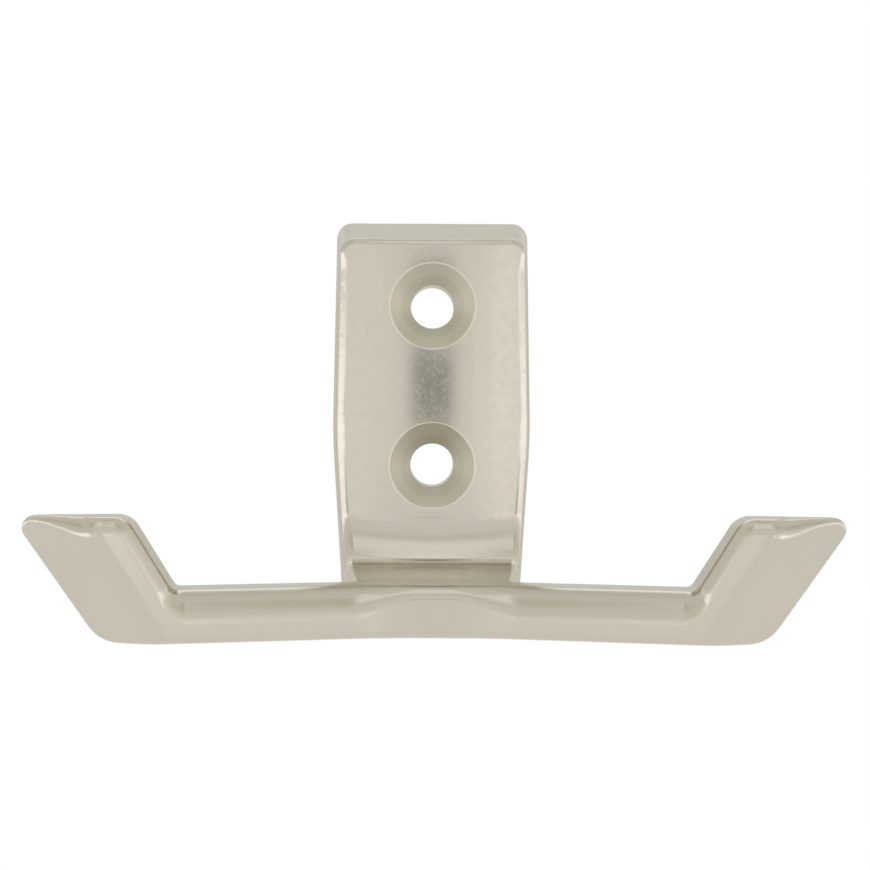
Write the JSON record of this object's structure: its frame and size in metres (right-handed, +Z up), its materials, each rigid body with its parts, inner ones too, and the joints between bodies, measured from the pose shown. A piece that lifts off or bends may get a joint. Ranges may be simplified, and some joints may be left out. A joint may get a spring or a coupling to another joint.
{
  "type": "double robe hook",
  "caption": "Wall-mounted robe hook cast in one piece: plate with countersunk screw holes, forward-bent neck and a swept cross bar whose wings end in upturned prongs.",
  "frame": {"origin": "on the flat wall face, midway between the screw holes", "axes": "+X to the right of a person facing the wall, -Y out from the wall towards the prongs, +Z up"},
  "size_m": [0.0772, 0.0382, 0.0424],
  "materials": {
    "satin_nickel": "warm satin nickel plate over a smooth zinc casting"
  },
  "bodies": {
    "root": {"hook_body": "satin_nickel"}
  },
  "joints": []
}
